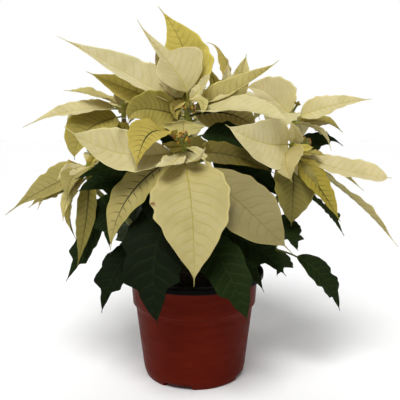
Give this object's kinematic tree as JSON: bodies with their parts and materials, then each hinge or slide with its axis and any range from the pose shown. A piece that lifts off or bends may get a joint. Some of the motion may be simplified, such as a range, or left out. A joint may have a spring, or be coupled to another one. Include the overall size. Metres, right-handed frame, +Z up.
{
  "type": "potted poinsettia",
  "caption": "Potted house plant: a plastic nursery pot of soil, a woody stem, leafy branches and heads of cream bracts round small green and yellow flowers.",
  "frame": {"origin": "middle of the flat pad under the pot, on the surface that the pot stands on", "axes": "+Z up along the pot's axis; the fullest side of the plant faces -Y, with +X to its right"},
  "size_m": [0.4407, 0.3363, 0.4202],
  "materials": {
    "pot": "satin moulded plastic, red-brown outside, near black inside and on the lip",
    "soil": "crumbly damp peat",
    "bark": "thin grey-brown bark",
    "leaves": "dark green leaf, veined, slightly waxy",
    "bracts": "cream bract, veined, soft satin",
    "flowers": "green and yellow fleshy cups with orange-red tips"
  },
  "bodies": {
    "root": {"pot": "pot", "soil": "soil", "main_stem": "bark", "stem_top": "leaves", "bracts_top": "bracts", "flowers_top": "flowers", "stem_front": "leaves", "bracts_front": "bracts", "flowers_front": "flowers", "stem_right": "leaves", "bracts_right": "bracts", "flowers_right": "flowers", "stem_left": "leaves", "bracts_left": "bracts", "flowers_left": "flowers", "stem_back_right": "leaves", "bracts_back_right": "bracts", "flowers_back_right": "flowers", "stem_back_left": "leaves", "bracts_back_left": "bracts", "flowers_back_left": "flowers", "stem_back": "leaves", "bracts_back": "bracts", "flowers_back": "flowers", "stem_upper_right": "leaves", "bracts_upper_right": "bracts", "flowers_upper_right": "flowers"}
  },
  "joints": []
}
